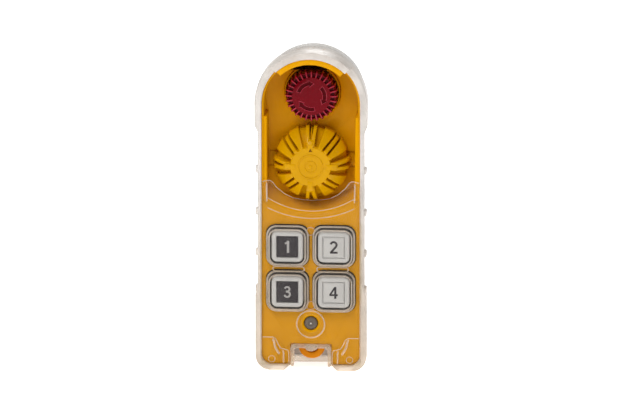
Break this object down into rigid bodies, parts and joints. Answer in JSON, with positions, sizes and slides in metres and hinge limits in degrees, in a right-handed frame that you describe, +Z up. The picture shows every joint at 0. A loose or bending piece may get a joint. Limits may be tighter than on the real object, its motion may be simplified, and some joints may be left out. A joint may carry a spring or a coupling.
{
  "type": "pendant control station",
  "caption": "Hand-held pendant control station in a clear soft jacket, with emergency stop, rotary selector, numbered keys and lamp.",
  "frame": {"origin": "centre of the bounding box in plan, on the plane that the feet stand on", "axes": "+Z up along the length, from the feet to the round top; the controls face -Y; +X is to the right of someone facing them"},
  "size_m": [0.0638, 0.054, 0.1875],
  "materials": {
    "yellow_plastic": "satin moulded, fine spark texture",
    "knob_plastic": "satin to gloss moulded",
    "grey_plastic": "fine textured moulded",
    "clear_silicone": "clear, faintly milky, glossy",
    "red_plastic": "satin gloss",
    "key_plastic": "satin",
    "label_stock": "printed card under clear film",
    "black_rubber": "matte",
    "black_plastic": "matte",
    "steel": "bright plated",
    "brass": "plated",
    "board_green": "solder mask",
    "smoked_lens": "smoked, glossy"
  },
  "bodies": {
    "root": {"antenna": "black_plastic", "battery_cell_left": "steel", "battery_cell_right": "steel", "battery_contact_bottom": "brass", "battery_contact_top": "brass", "battery_cover": "grey_plastic", "cover_screw": "steel", "estop_collar": "yellow_plastic", "estop_contact_block": "black_plastic", "estop_lock_ring": "black_plastic", "estop_loom": "black_plastic", "estop_spring": "steel", "front_housing": "yellow_plastic", "housing_gasket": "black_rubber", "housing_screw_lower_left": "steel", "housing_screw_lower_right": "steel", "housing_screw_upper_left": "steel", "housing_screw_upper_right": "steel", "key_switch_1": "black_plastic", "key_switch_2": "black_plastic", "key_switch_3": "black_plastic", "key_switch_4": "black_plastic", "keypad_seal": "black_rubber", "lanyard_eye": "yellow_plastic", "led_lens": "smoked_lens", "light_pipe": "smoked_lens", "main_board": "board_green", "protective_jacket": "clear_silicone", "radio_module": "steel", "rear_housing": "grey_plastic", "rotary_switch": "black_plastic", "rotary_switch_nut": "steel", "selector_loom": "red_plastic", "selector_seal": "black_rubber", "status_led": "key_plastic"},
    "estop_plunger": {"estop_stem": "black_plastic"},
    "estop_button": {"estop_head": "red_plastic"},
    "selector": {"selector_knob": "knob_plastic", "knob_shaft": "steel"},
    "key_1": {"key_cap_1": "key_plastic", "key_label_1": "label_stock", "key_plunger_1": "black_plastic"},
    "key_2": {"key_cap_2": "key_plastic", "key_label_2": "label_stock", "key_plunger_2": "black_plastic"},
    "key_3": {"key_cap_3": "key_plastic", "key_label_3": "label_stock", "key_plunger_3": "black_plastic"},
    "key_4": {"key_cap_4": "key_plastic", "key_label_4": "label_stock", "key_plunger_4": "black_plastic"}
  },
  "joints": [
    {"name": "estop_push", "type": "slide", "parent": "root", "child": "estop_plunger", "axis": [0, 1, 0], "range_m": [0, 0.004], "stiffness_N_per_m": 400, "springref_m": -0.002, "deforming": ["estop_spring"]},
    {"name": "estop_twist", "type": "hinge", "parent": "estop_plunger", "child": "estop_button", "pos_m": [0, -0.007, 0.1593], "axis": [0, 1, 0], "range_deg": [0, 30], "stiffness_Nm_per_rad": 0.03},
    {"name": "selector_turn", "type": "hinge", "parent": "root", "child": "selector", "pos_m": [0, -0.0066, 0.1202], "axis": [0, 1, 0], "range_deg": [-45, 45]},
    {"name": "key_1_press", "type": "slide", "parent": "root", "child": "key_1", "axis": [0, 1, 0], "range_m": [0, 0.0025], "stiffness_N_per_m": 150, "springref_m": -0.003},
    {"name": "key_2_press", "type": "slide", "parent": "root", "child": "key_2", "axis": [0, 1, 0], "range_m": [0, 0.0025], "stiffness_N_per_m": 150, "springref_m": -0.003},
    {"name": "key_3_press", "type": "slide", "parent": "root", "child": "key_3", "axis": [0, 1, 0], "range_m": [0, 0.0025], "stiffness_N_per_m": 150, "springref_m": -0.003},
    {"name": "key_4_press", "type": "slide", "parent": "root", "child": "key_4", "axis": [0, 1, 0], "range_m": [0, 0.0025], "stiffness_N_per_m": 150, "springref_m": -0.003}
  ]
}
